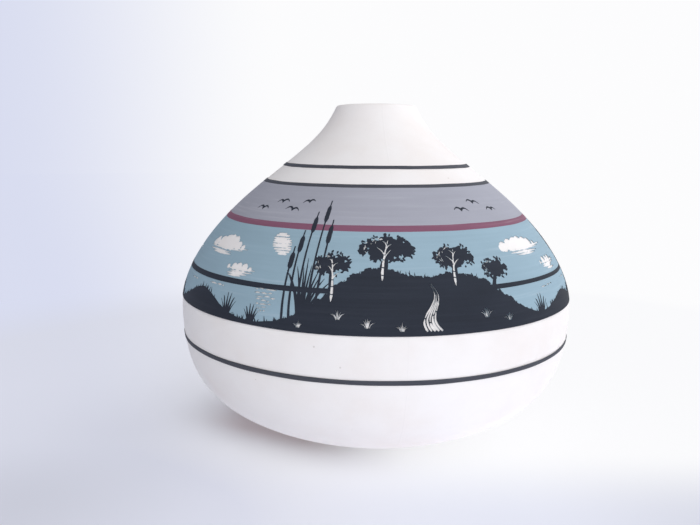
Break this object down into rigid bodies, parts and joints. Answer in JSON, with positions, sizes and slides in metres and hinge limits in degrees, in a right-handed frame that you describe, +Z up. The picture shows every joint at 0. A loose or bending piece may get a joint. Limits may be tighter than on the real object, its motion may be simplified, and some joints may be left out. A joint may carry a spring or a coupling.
{
  "type": "etched pottery vase",
  "caption": "Squat slip-cast vase with a wide belly and narrow neck, banded in coloured slip, with a painted and etched lakeshore around it; holds a few stems or stands empty.",
  "frame": {"origin": "centre of the foot, on the surface the vase stands on", "axes": "+Z up along the pot's axis of revolution, picture facing -Y"},
  "size_m": [0.1904, 0.1904, 0.1624],
  "materials": {
    "bisque": "matte unglazed white bisque",
    "clear_glaze": "glossy clear glaze over white clay",
    "black_slip": "matte brushed slip",
    "grey_slip": "matte brushed slip",
    "maroon_slip": "matte brushed slip",
    "blue_slip": "matte brushed slip"
  },
  "bodies": {
    "root": {"clay_body": "bisque", "inside_glaze": "clear_glaze", "neck_line": "black_slip", "shoulder_line": "black_slip", "grey_band": "grey_slip", "maroon_line": "maroon_slip", "upper_sky": "blue_slip", "lower_sky": "blue_slip", "black_picture": "black_slip", "belly_line": "black_slip"}
  },
  "joints": []
}
